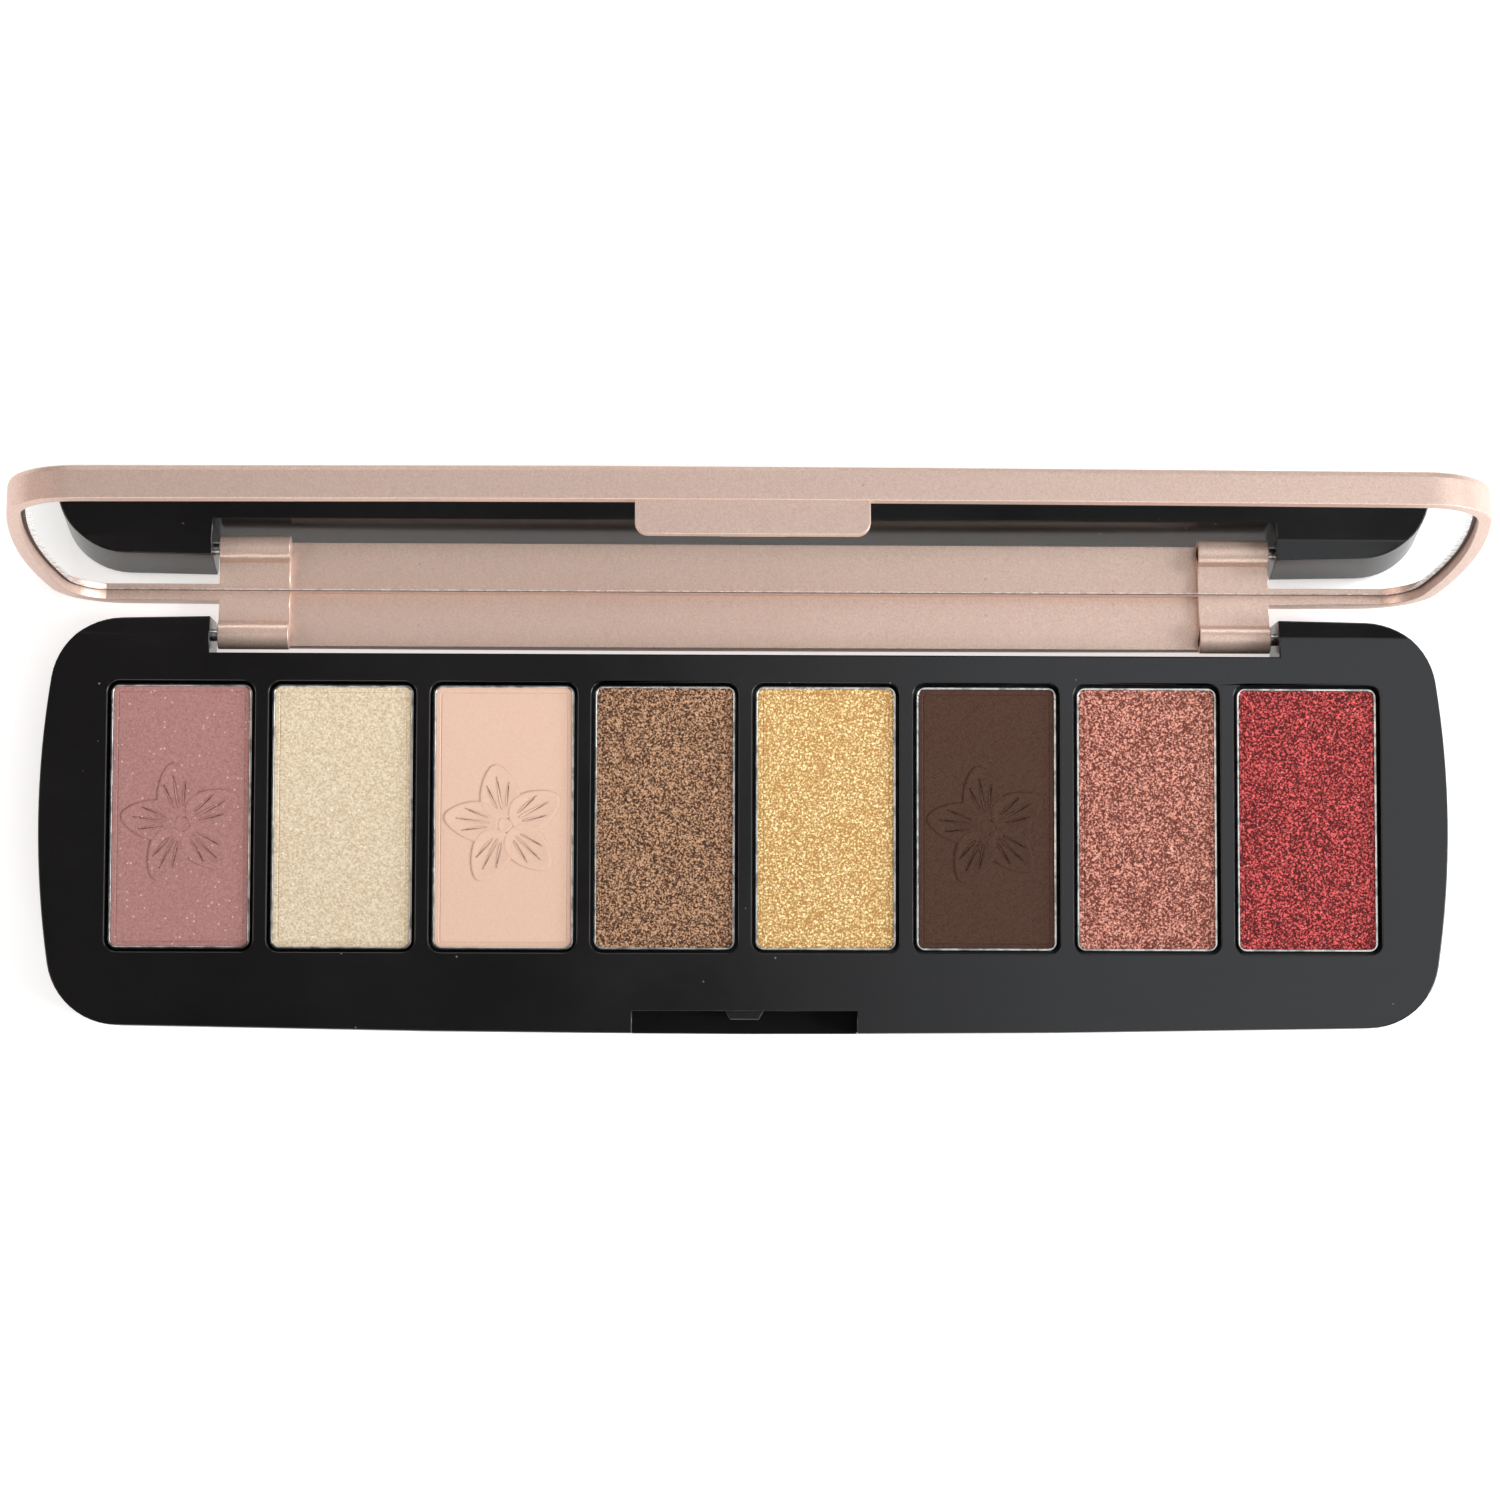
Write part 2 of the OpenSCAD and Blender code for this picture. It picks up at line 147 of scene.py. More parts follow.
class PaletteRelief(bpy.types.PropertyGroup):
    """The blossom pressed into three of the powders."""

    petals: IntProperty(name="Petals", description="Number of petals", default=5, min=3, max=9)
    petal_length: length("Petal length", "Length of a petal", 5.9 * MM)
    petal_width: length("Petal width", "Width of a petal", 3.9 * MM)
    height: length("Height", "Height of the lowest petal above the powder", 0.11 * MM)
    step: length("Step", "Height of each petal above the one before", 0.006 * MM)
    heart: length("Heart", "Radius of the middle of the blossom", 0.75 * MM)
    right: length("Right", "Distance of the blossom to the right of the middle of its pan", 0.15 * MM)
    forward: length("Forward", "Distance of the blossom in front of the middle of its pan", 0.8 * MM)
    first_turn: FloatProperty(
        name="First petal", description="Direction of the first petal", default=math.radians(100),
        subtype="ANGLE",
    )


class PaletteStage(bpy.types.PropertyGroup):
    """Camera and light."""

    lens: FloatProperty(
        name="Lens", description="Focal length of the camera", default=98.35, unit="CAMERA"
    )
    floor_gap: length("Floor gap", "Distance of the floor below the palette", 0.02 * MM)
    floor_size: length("Floor", "Distance of the edge of the floor from its middle", 3.0)
    floor_glow: FloatProperty(name="Floor glow", description="Light that the floor gives", default=0.56)
    room_glow: FloatProperty(name="Room glow", description="Light from all around", default=0.07)
    light: FloatProperty(name="Light", description="Strength of all lamps", default=1.0, min=0)


# ---------------------------------------------------------------- shader helpers


class Nodes:
    """Short way to add and link nodes in one tree."""

    def __init__(self, tree):
        self.tree = tree

    def add(self, kind, links=None, **settings):
        node = self.tree.nodes.new(kind)
        for key, value in settings.items():
            setattr(node, key, value)
        for key, value in (links or {}).items():
            if isinstance(value, bpy.types.NodeSocket):
                self.tree.links.new(value, node.inputs[key])
            else:
                node.inputs[key].default_value = value
        return node

    def math(self, operation, a, b=0.0, clamp=False):
        return self.add("ShaderNodeMath", {0: a, 1: b}, operation=operation, use_clamp=clamp).outputs[0]

    def mix(self, factor, a, b, blend="MIX"):
        node = self.add("ShaderNodeMix", data_type="RGBA", blend_type=blend)
        for index, value in ((0, factor), (6, a), (7, b)):
            if isinstance(value, bpy.types.NodeSocket):
                self.tree.links.new(value, node.inputs[index])
            else:
                node.inputs[index].default_value = value if index == 0 else (*tuple(value)[:3], 1)
        return node.outputs[2]

    def ramp(self, factor, stops, interpolation="LINEAR"):
        node = self.add("ShaderNodeValToRGB", {0: factor})
        node.color_ramp.interpolation = interpolation
        elements = node.color_ramp.elements
        while len(elements) < len(stops):
            elements.new(0.5)
        for element, (position, value) in zip(elements, stops):
            element.position = position
            element.color = (*value, 1) if hasattr(value, "__len__") else (value, value, value, 1)
        return node.outputs[0]

    def noise(self, vector, scale, detail=2.0, roughness=0.5, distortion=0.0):
        return self.add(
            "ShaderNodeTexNoise",
            {"Vector": vector, "Scale": scale, "Detail": detail, "Roughness": roughness,
             "Distortion": distortion},
        ).outputs[0]

    def points(self, vector, scale, feature="F1"):
        return self.add(
            "ShaderNodeTexVoronoi", {"Vector": vector, "Scale": scale}, feature=feature
        )


def new_group(name, inputs, outputs):
    """An empty node group with its sockets, and its input and output nodes."""
    tree = bpy.data.node_groups.new(name, "ShaderNodeTree")
    for label, kind, value in inputs:
        socket = tree.interface.new_socket(name=label, in_out="INPUT", socket_type=kind)
        if value is not None:
            socket.default_value = value
    for label, kind in outputs:
        tree.interface.new_socket(name=label, in_out="OUTPUT", socket_type=kind)
    n = Nodes(tree)
    return n, n.add("NodeGroupInput").outputs, n.add("NodeGroupOutput").inputs


def link_outputs(n, sockets, values):
    for label, value in values.items():
        n.tree.links.new(value, sockets[label])


def dust_group():
    """Sparse specks of dust and powder, as a mask."""
    if "Dust specks" in bpy.data.node_groups:
        return bpy.data.node_groups["Dust specks"]
    n, given, out = new_group(
        "Dust specks",
        [("Vector", "NodeSocketVector", None), ("Scale", "NodeSocketFloat", 400.0),
         ("Amount", "NodeSocketFloat", 0.1), ("Size", "NodeSocketFloat", 0.1)],
        [("Mask", "NodeSocketFloat")],
    )
    cells = n.points(given["Vector"], given["Scale"])
    chosen = n.math("LESS_THAN", n.add(
        "ShaderNodeSeparateColor", {0: cells.outputs["Color"]}).outputs[0], given["Amount"])
    near = n.math("SUBTRACT", 1.0, n.math("DIVIDE", cells.outputs["Distance"], given["Size"]), True)
    link_outputs(n, out, {"Mask": n.math("MULTIPLY", chosen, near, True)})
    return n.tree


def scratch_group():
    """Fine hairlines in several directions, as a height."""
    if "Hairlines" in bpy.data.node_groups:
        return bpy.data.node_groups["Hairlines"]
    n, given, out = new_group(
        "Hairlines",
        [("Vector", "NodeSocketVector", None), ("Scale", "NodeSocketFloat", 60.0)],
        [("Height", "NodeSocketFloat")],
    )
    total = None
    for turn, stretch in ((0.4, 40.0), (1.9, 55.0)):
        turned = n.add(
            "ShaderNodeMapping",
            {"Vector": given["Vector"], "Rotation": (0.0, 0.0, turn), "Scale": (1.0, stretch, 1.0)},
        ).outputs[0]
        line = n.ramp(n.noise(turned, given["Scale"], 1.0), ((0.66, 0.0), (0.70, 1.0)))
        total = line if total is None else n.math("MAXIMUM", total, line)
    link_outputs(n, out, {"Height": total})
    return n.tree


# waves of the press cloth in radians per metre, and cells between cracks per metre
WEAVE_PITCH = 12500.0
CRACK_CELLS = 2100.0


def powder_group():
    """Grain of a pressed powder: three tones, sparkle, press marks, height and roughness."""
    if "Pressed powder" in bpy.data.node_groups:
        return bpy.data.node_groups["Pressed powder"]
    n, given, out = new_group(
        "Pressed powder",
        [("Vector", "NodeSocketVector", None), ("Dark", "NodeSocketColor", None),
         ("Middle", "NodeSocketColor", None), ("Bright", "NodeSocketColor", None),
         ("Sparkle colour", "NodeSocketColor", None), ("Grain", "NodeSocketFloat", 4000.0),
         ("Contrast", "NodeSocketFloat", 1.0), ("Sparkle", "NodeSocketFloat", 0.0),
         ("Weave", "NodeSocketFloat", 0.0), ("Patches", "NodeSocketFloat", 0.1),
         ("Cracks", "NodeSocketFloat", 0.0)],
        [("Color", "NodeSocketColor"), ("Height", "NodeSocketFloat"),
         ("Roughness", "NodeSocketFloat")],
    )
    vector = given["Vector"]
    grain = n.noise(vector, given["Grain"], 3.0, 0.62, 0.6)
    coarse = n.noise(vector, n.math("MULTIPLY", given["Grain"], 0.42), 2.0, 0.5, 0.4)
    cloud = n.noise(vector, 180.0, 3.0, 0.55)
    level = n.math("ADD", n.math("MULTIPLY", grain, 0.80), n.math("MULTIPLY", coarse, 0.20))
    level = n.math("ADD", n.math("MULTIPLY", n.math("SUBTRACT", level, 0.5),
                                 n.math("MULTIPLY", given["Contrast"], 4.2)), 0.5)
    shift = n.math("MULTIPLY", n.math("SUBTRACT", cloud, 0.5), n.math("MULTIPLY", given["Patches"], 3.0))
    split = n.add("ShaderNodeSeparateXYZ", {0: vector}).outputs
    weave = n.math("MULTIPLY", n.math("SINE", n.math("MULTIPLY", split[0], WEAVE_PITCH)),
                   n.math("SINE", n.math("MULTIPLY", split[1], WEAVE_PITCH)))
    # cracks follow cells whose borders are bent by noise
    bent = n.add("ShaderNodeTexNoise", {"Vector": vector, "Scale": 2600.0, "Detail": 2.0}).outputs["Color"]
    offset = n.add("ShaderNodeVectorMath", {0: bent, 1: (0.5, 0.5, 0.5)}, operation="SUBTRACT").outputs[0]
    offset = n.add("ShaderNodeVectorMath", {0: offset, "Scale": 0.0007}, operation="SCALE").outputs[0]
    where = n.add("ShaderNodeVectorMath", {0: vector, 1: offset}, operation="ADD").outputs[0]
    edge = n.points(where, CRACK_CELLS, "DISTANCE_TO_EDGE").outputs["Distance"]
    crack = n.math("SUBTRACT", 1.0, n.math("DIVIDE", edge, 0.20), True)
    crack = n.math("MULTIPLY", crack, n.math("MULTIPLY", coarse, 2.0))
    level = n.math("SUBTRACT", level, n.math("MULTIPLY", crack, given["Cracks"]))
    level = n.math("ADD", n.math("ADD", level, shift), n.math("MULTIPLY", weave, given["Weave"]), True)
    low = n.math("MULTIPLY", level, 2.0, True)
    high = n.math("SUBTRACT", n.math("MULTIPLY", level, 2.0), 1.0, True)
    tone = n.mix(high, n.mix(low, given["Dark"], given["Middle"]), given["Bright"])
    cells = n.points(vector, n.math("MULTIPLY", given["Grain"], 0.55))
    pick = n.add("ShaderNodeSeparateColor", {0: cells.outputs["Color"]}).outputs[0]
    spark = n.math("MULTIPLY", n.math("LESS_THAN", pick, given["Sparkle"]),
                   n.math("SUBTRACT", 1.0, n.math("MULTIPLY", cells.outputs["Distance"], 2.6), True), True)
    tone = n.mix(spark, tone, given["Sparkle colour"])
    link_outputs(n, out, {
        "Color": tone, "Height": level,
        "Roughness": n.math("SUBTRACT", 0.86, n.math("MULTIPLY", level, 0.30)),
    })
    return n.tree


def material(name):
    """A new material with a bare Principled shader, and its object coordinates."""
    made = bpy.data.materials.new(name)
    made.use_nodes = True
    made.node_tree.nodes.clear()
    n = Nodes(made.node_tree)
    shader = n.add("ShaderNodeBsdfPrincipled")
    n.add("ShaderNodeOutputMaterial", {"Surface": shader.outputs[0]})
    return made, n, shader.inputs, n.add("ShaderNodeTexCoord").outputs["Object"]


def group_node(n, tree, links):
    return n.add("ShaderNodeGroup", links, node_tree=tree).outputs


def scaled(tone, factor, lift=0.0):
    """A lighter or darker tone."""
    return [min(1.0, channel * factor + lift) for channel in tone]


def dust(n, vector, scale, amount, size):
    """Mask of sparse specks: scale in specks per metre, amount and size as shares."""
    return group_node(
        n, dust_group(), {"Vector": vector, "Scale": scale, "Amount": amount, "Size": size}
    )["Mask"]


def bump(n, height, strength, distance, normal=None):
    links = {"Height": height, "Strength": strength, "Distance": distance}
    if normal is not None:
        links["Normal"] = normal
    return n.add("ShaderNodeBump", links).outputs[0]


def tray_material(base):
    """Glossy black plastic with faint moulding haze, hairlines and specks of dust."""
    made, n, socket, here = material("Black plastic")
    haze = n.noise(here, 55.0, 4.0, 0.6)
    fine = n.noise(here, 2600.0, 2.0)
    specks = dust(n, here, 700.0, 0.13, 0.085)
    lines = group_node(n, scratch_group(), {"Vector": here, "Scale": 90.0})
    tone = n.mix(n.ramp(haze, ((0.35, 0.0), (0.75, 1.0))), base, scaled(base, 1.6))
    tone = n.mix(n.math("MULTIPLY", specks, 0.8), tone, (0.42, 0.33, 0.27))
    n.tree.links.new(tone, socket["Base Color"])
    rough = n.ramp(haze, ((0.3, 0.17), (0.8, 0.26)))
    rough = n.math("ADD", rough, n.math("MULTIPLY", specks, 0.5))
    n.tree.links.new(n.math("ADD", rough, n.math("MULTIPLY", lines["Height"], 0.02)), socket["Roughness"])
    normal = bump(n, haze, 0.02, 0.0006)
    skin = n.math("SUBTRACT", fine, n.math("MULTIPLY", lines["Height"], 0.15))
    n.tree.links.new(bump(n, skin, 0.05, 0.00002, normal), socket["Normal"])
    socket["IOR"].default_value = 1.46
    return made


def paint_material(base):
    """Satin metallic lacquer: fine flake, slight orange peel, worn specks."""
    made, n, socket, here = material("Rose lacquer")
    flake = n.noise(here, 5200.0, 2.0, 0.7)
    cells = n.points(here, 3600.0).outputs["Color"]
    pick = n.add("ShaderNodeSeparateColor", {0: cells}).outputs[0]
    cloud = n.noise(here, 45.0, 3.0)
    specks = dust(n, here, 700.0, 0.05, 0.14)
    tone = n.mix(n.ramp(flake, ((0.3, 0.0), (0.7, 1.0))), scaled(base, 0.86), scaled(base, 1.13))
    tone = n.mix(n.math("MULTIPLY", pick, 0.16), tone, (0.95, 0.82, 0.74))
    tone = n.mix(n.ramp(cloud, ((0.35, 0.0), (0.7, 0.10))), tone, scaled(base, 0.8))
    tone = n.mix(n.math("MULTIPLY", specks, 0.5), tone, (0.20, 0.11, 0.08))
    n.tree.links.new(tone, socket["Base Color"])
    n.tree.links.new(n.ramp(flake, ((0.25, 0.50), (0.75, 0.38))), socket["Roughness"])
    normal = bump(n, cloud, 0.05, 0.0008)
    n.tree.links.new(bump(n, flake, 0.16, 0.00002, normal), socket["Normal"])
    socket["Metallic"].default_value = 0.55
    return made


def metal_material(name, base, roughness, stretch, strength):
    """Drawn or stamped bright metal with fine lines along one direction."""
    made, n, socket, here = material(name)
    along = n.add("ShaderNodeMapping", {"Vector": here, "Scale": stretch}).outputs[0]
    lines = n.noise(along, 900.0, 3.0, 0.6)
    stain = n.noise(here, 700.0, 4.0, 0.6)
    tone = n.mix(n.ramp(stain, ((0.44, 0.0), (0.62, 1.0))), base, scaled(base, 0.45))
    n.tree.links.new(tone, socket["Base Color"])
    rough = n.math("ADD", n.math("MULTIPLY", lines, 0.18), roughness - 0.09)
    n.tree.links.new(rough, socket["Roughness"])
    n.tree.links.new(bump(n, lines, strength, 0.00002), socket["Normal"])
    socket["Metallic"].default_value = 1.0
    return made


SoftFinish = namedtuple("SoftFinish", "base shade scale roughness depth")
SOFT_FINISHES = {
    # painted shade: darker, duller black for the floor of the latch recess
    "Painted recess shade": SoftFinish((0.004, 0.004, 0.004), (0.002, 0.002, 0.002), 3000.0, 0.8, 0.00002),
    # painted shade of the gap around the mirror and of the band under the lid wall
    "Mirror gap shade": SoftFinish((0.050, 0.026, 0.018), (0.020, 0.012, 0.009), 1200.0, 0.5, 0.00002),
    "Hot glue": SoftFinish((0.70, 0.62, 0.42), (0.55, 0.46, 0.28), 500.0, 0.35, 0.00004),
    "Foam tape": SoftFinish((0.72, 0.72, 0.70), (0.50, 0.50, 0.48), 1800.0, 0.85, 0.00005),
    "Label paper": SoftFinish((0.80, 0.80, 0.77), (0.74, 0.73, 0.70), 1500.0, 0.5, 0.00001),
}


def soft_material(name):
    """Plain matte piece, such as glue, foam or paper, with its own grain."""
    base, shade, scale, roughness, depth = SOFT_FINISHES[name]
    made, n, socket, here = material(name)
    grain = n.noise(here, scale, 4.0, 0.6)
    n.tree.links.new(n.mix(n.ramp(grain, ((0.3, 0.0), (0.7, 1.0))), shade, base), socket["Base Color"])
    n.tree.links.new(n.math("ADD", n.math("MULTIPLY", grain, 0.2), roughness - 0.1), socket["Roughness"])
    n.tree.links.new(bump(n, grain, 0.5, depth), socket["Normal"])
    return made


def mirror_material():
    """Silvered glass with a faint haze of fingerprints and a few dust specks."""
    made, n, socket, here = material("Mirror face")
    smear = n.noise(here, 70.0, 4.0, 0.6, 1.5)
    specks = dust(n, here, 300.0, 0.05, 0.06)
    n.tree.links.new(n.mix(specks, (0.90, 0.91, 0.90), (0.6, 0.58, 0.55)), socket["Base Color"])
    rough = n.ramp(smear, ((0.45, 0.012), (0.85, 0.05)))
    n.tree.links.new(n.math("ADD", rough, n.math("MULTIPLY", specks, 0.4)), socket["Roughness"])
    socket["Metallic"].default_value = 1.0
    return made


def glass_edge_material():
    """Ground edge of the mirror: pale, slightly chipped."""
    made, n, socket, here = material("Mirror edge")
    chips = n.noise(here, 900.0, 4.0, 0.7)
    tone = n.ramp(chips, ((0.30, (0.42, 0.40, 0.38)), (0.42, (0.93, 0.93, 0.92))))
    n.tree.links.new(tone, socket["Base Color"])
    n.tree.links.new(n.ramp(chips, ((0.3, 0.12), (0.7, 0.42))), socket["Roughness"])
    n.tree.links.new(bump(n, chips, 0.5, 0.00005), socket["Normal"])
    socket["Metallic"].default_value = 0.35
    return made


# three tones, grain per metre, then shares: contrast, sparkle, press weave, patches, cracks, metal
Powder = namedtuple(
    "Powder", "dark middle bright grain contrast sparkle weave patches cracks metallic"
)
POWDERS = {
    "mauve": Powder(
        (0.315, 0.147, 0.135), (0.382, 0.189, 0.175), (0.436, 0.234, 0.214), 5200,
        contrast=0.9, sparkle=0.085, weave=0.02, patches=0.05, cracks=0.0, metallic=0.0,
    ),
    "champagne": Powder(
        (0.594, 0.440, 0.285), (0.717, 0.598, 0.423), (0.816, 0.713, 0.540), 5400,
        contrast=1.15, sparkle=0.06, weave=0.02, patches=0.05, cracks=0.1, metallic=0.15,
    ),
    "peach": Powder(
        (0.683, 0.449, 0.338), (0.715, 0.485, 0.373), (0.733, 0.512, 0.395), 5200,
        contrast=0.6, sparkle=0.0, weave=0.03, patches=0.05, cracks=0.0, metallic=0.0,
    ),
    "taupe": Powder(
        (0.050, 0.019, 0.008), (0.298, 0.144, 0.076), (0.623, 0.368, 0.210), 6000,
        contrast=2.4, sparkle=0.05, weave=0.03, patches=0.05, cracks=0.35, metallic=0.3,
    ),
    "gold": Powder(
        (0.514, 0.262, 0.073), (0.850, 0.598, 0.267), (0.980, 0.928, 0.535), 5000,
        contrast=1.7, sparkle=0.06, weave=0.02, patches=0.08, cracks=0.8, metallic=0.3,
    ),
    "brown": Powder(
        (0.054, 0.023, 0.015), (0.071, 0.033, 0.021), (0.084, 0.039, 0.026), 5200,
        contrast=0.8, sparkle=0.0, weave=0.06, patches=0.05, cracks=0.0, metallic=0.0,
    ),
    "copper": Powder(
        (0.148, 0.036, 0.025), (0.497, 0.175, 0.125), (0.835, 0.390, 0.291), 5400,
        contrast=2.2, sparkle=0.05, weave=0.13, patches=0.06, cracks=0.6, metallic=0.3,
    ),
    "red": Powder(
        (0.088, 0.007, 0.007), (0.413, 0.041, 0.043), (0.836, 0.125, 0.121), 5200,
        contrast=2.3, sparkle=0.05, weave=0.09, patches=0.1, cracks=0.7, metallic=0.3,
    ),
}


def powder_material(name):
    """One pressed powder shade."""
    shade = POWDERS[name]
    made, n, socket, here = material("Powder " + name)
    crease_shade = n.add("ShaderNodeAttribute", attribute_name="crease_shade").outputs["Fac"]
    powder = group_node(n, powder_group(), {
        "Vector": here, "Dark": (*shade.dark, 1), "Middle": (*shade.middle, 1),
        "Bright": (*shade.bright, 1), "Sparkle colour": (*scaled(shade.bright, 1.3, 0.25), 1),
        "Grain": float(shade.grain), "Contrast": shade.contrast, "Sparkle": shade.sparkle,
        "Weave": shade.weave, "Patches": shade.patches, "Cracks": shade.cracks,
    })
    # painted shade: the powder is darkened at the foot of each raised lobe
    shaded = n.mix(n.math("MULTIPLY", crease_shade, 0.34), powder["Color"], scaled(shade.middle, 0.25))
    n.tree.links.new(shaded, socket["Base Color"])
    n.tree.links.new(powder["Roughness"], socket["Roughness"])
    depth = 0.00006 if shade.metallic else 0.000025
    n.tree.links.new(bump(n, powder["Height"], 0.45, depth), socket["Normal"])
    socket["Metallic"].default_value = shade.metallic
    if not shade.metallic:
        socket["Specular IOR Level"].default_value = 0.2
    return made


# ---------------------------------------------------------------- mesh helpers

CORNER_STEPS = 6
LOBE_SEGMENTS = 40
# taper of a lobe from its inner to its outer end, then the shares of its height in its wall, in its
# slope and in the dish on its top
LOBE_TAPER = 0.30
LOBE_WALL = 0.6
LOBE_SLOPE = 0.4
LOBE_DISH = 0.25
PETAL_SLOPE = 0.16 * MM
HEART_SLOPE = 0.14 * MM
VEIN_SLOPE = 0.03 * MM
VEIN_HALF_WIDTH = 0.17 * MM
# each vein of a petal: swing in radians, then start and reach as shares of the petal length
VEINS = ((-0.26, 0.30, 0.42), (0.0, 0.26, 0.56), (0.26, 0.30, 0.42))


def finish_piece(name, mesh, body, nodes, materials, smooth=True):
    """Links a mesh as a piece that rides on a body and stands for CAD nodes."""
    piece = bpy.data.objects.new(name, mesh)
    bpy.context.scene.collection.objects.link(piece)
    for one in materials:
        mesh.materials.append(one)
    mesh.polygons.foreach_set("use_smooth", [smooth] * len(mesh.polygons))
    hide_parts(*nodes)
    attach(piece, body)
    return piece


def mesh_from(bm, name):
    mesh = bpy.data.meshes.new(name)
    bm.to_mesh(mesh)
    bm.free()
    if "custom_normal" in mesh.attributes:
        mesh.attributes.remove(mesh.attributes["custom_normal"])
    return mesh


def merged_copy(node):
    """A bmesh copy of a CAD node with shared vertices and flat faces joined."""
    bm = bmesh.new()
    bm.from_mesh(frame["nodes"][node].data)
    bmesh.ops.remove_doubles(bm, verts=bm.verts, dist=0.002 * MM)
    bmesh.ops.dissolve_limit(bm, angle_limit=math.radians(0.4), verts=bm.verts, edges=bm.edges)
    return bm


def mark_outer_edges(bm, angle=15.0):
    """Gives the sharp outer edges their bevel weight; inner corners stay crisp."""
    weight = bm.edges.layers.float.new("bevel_weight_edge")
    for edge in bm.edges:
        if edge.is_manifold and edge.calc_face_angle() > math.radians(angle):
            if edge.is_convex:
                edge[weight] = 1.0
            else:
                edge.smooth = False


def soften_edges(piece, width, segments=3, angle=28.0, marked=False):
    """Rounds the sharp edges and keeps the large faces flat."""
    rounder = piece.modifiers.new("Rounded edges", "BEVEL")
    rounder.limit_method = "WEIGHT" if marked else "ANGLE"
    rounder.angle_limit = math.radians(angle)
    rounder.width = width
    rounder.segments = segments
    rounder.use_clamp_overlap = False
    rounder.harden_normals = True


def rounded_rectangle(bm, low, high, radius, z, steps):
    """One face with rounded corners at height z."""
    made = bmesh.ops.create_grid(bm, x_segments=1, y_segments=1, size=0.5)
    centre = (low + high) / 2
    bmesh.ops.scale(bm, vec=(high.x - low.x, high.y - low.y, 1), verts=made["verts"])
    bmesh.ops.translate(bm, vec=(centre.x, centre.y, z), verts=made["verts"])
    bmesh.ops.bevel(
        bm, geom=made["verts"], offset=radius, offset_type="OFFSET", segments=steps,
        profile=0.5, affect="VERTICES", material=-1, clamp_overlap=False,
    )
    return bm.faces[:][0]


def raise_face(bm, face, distance, keep=True):
    """Pulls a face along Z with new walls and returns the moved face."""
    made = bmesh.ops.extrude_face_region(bm, geom=[face], use_keep_orig=True)["geom"]
    moved = [g for g in made if isinstance(g, bmesh.types.BMVert)]
    top = [g for g in made if isinstance(g, bmesh.types.BMFace)][0]
    bmesh.ops.translate(bm, vec=(0, 0, distance), verts=moved)
    if not keep:
        bmesh.ops.delete(bm, geom=[face], context="FACES_ONLY")
    return top


def ring_inside(bm, face, width, depth):
    """Insets a face and moves it along its normal; returns the inner face."""
    bmesh.ops.inset_region(bm, faces=[face], thickness=width, depth=depth, use_even_offset=True)
    return face


# ---------------------------------------------------------------- pieces


class PALETTE_OT_tray(bpy.types.Operator):
    """Tray and bottom cover with rounded moulded edges"""

    bl_idname = "palette.tray"
    bl_label = "Tray"

    def execute(self, context):
        shell = context.scene.palette_shell
        black = tray_material(tuple(shell.tray_colour))
        # painted shade: the recess floor gets a darker, less shiny black that stands for the shade deep in
        # the recess
        recess_shade = soft_material("Painted recess shade")
        recess_shade.node_tree.nodes["Principled BSDF"].inputs["Specular IOR Level"].default_value = 0.1
        for node, name in (("base_tray", "tray"), ("base_cover", "bottom_cover")):
            bm = merged_copy(node)
            mark_outer_edges(bm)
            low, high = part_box(node)
            for face in bm.faces:
                spot = face.calc_center_median()
                is_front = spot.y < low.y + shell.recess_reach
                is_inside = low.z + shell.recess_margin < spot.z < high.z - shell.recess_margin
                face.material_index = 1 if is_front and is_inside and face.normal.z > 0.9 else 0
            piece = finish_piece(
                name, mesh_from(bm, name), "base", [node], [black, recess_shade]
            )
            soften_edges(piece, shell.tray_round, marked=True)
        return {"FINISHED"}


class PALETTE_OT_lid(bpy.types.Operator):
    """Lid shell with its hinge flap, barrels and tongue"""

    bl_idname = "palette.lid"
    bl_label = "Lid"

    def execute(self, context):
        shell = context.scene.palette_shell
        bm = merged_copy("lid_shell")
        mark_outer_edges(bm)
        paint = paint_material(tuple(shell.paint_colour))
        piece = finish_piece("lid", mesh_from(bm, "lid"), "lid", ["lid_shell"], [paint])
        soften_edges(piece, shell.lid_round, marked=True)
        return {"FINISHED"}


class PALETTE_OT_mirror(bpy.types.Operator):
    """Mirror with a silvered face and a ground edge"""

    bl_idname = "palette.mirror"
    bl_label = "Mirror"

    def execute(self, context):
        shell = context.scene.palette_shell
        bm = merged_copy("mirror")
        face_out = Matrix.Rotation(-OPEN_ANGLE, 3, "X") @ Vector((0, 0, -1))
        front = max(bm.faces, key=lambda face: face.normal.dot(face_out) * face.calc_area())
        for face in bm.faces:
            face.material_index = 1
        # the whole edge along the top is dark, because the lid wall shades it
        shaded_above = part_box("mirror")[1].z - shell.mirror_shade
        # the outer ring is painted shade of the gap at the mirror edge, the inner ring is the pale ground
        # edge
        for width, index in ((shell.mirror_gap_shade, 2), (shell.mirror_bevel, 1)):
            ring = bmesh.ops.inset_region(bm, faces=[front], thickness=width, use_even_offset=True)["faces"]
            for face in ring:
                face.material_index = 2 if face.calc_center_median().z > shaded_above else index
        bmesh.ops.translate(bm, vec=face_out * shell.mirror_rise, verts=front.verts)
        front.material_index = 0
        mesh = mesh_from(bm, "mirror_plate")
        # painted shade for the seam ring and for the band along the top
        gap_shade = soft_material("Mirror gap shade")
        finish_piece(
            "mirror_plate", mesh, "lid", ["mirror"],
            [mirror_material(), glass_edge_material(), gap_shade], smooth=False,
        )
        return {"FINISHED"}


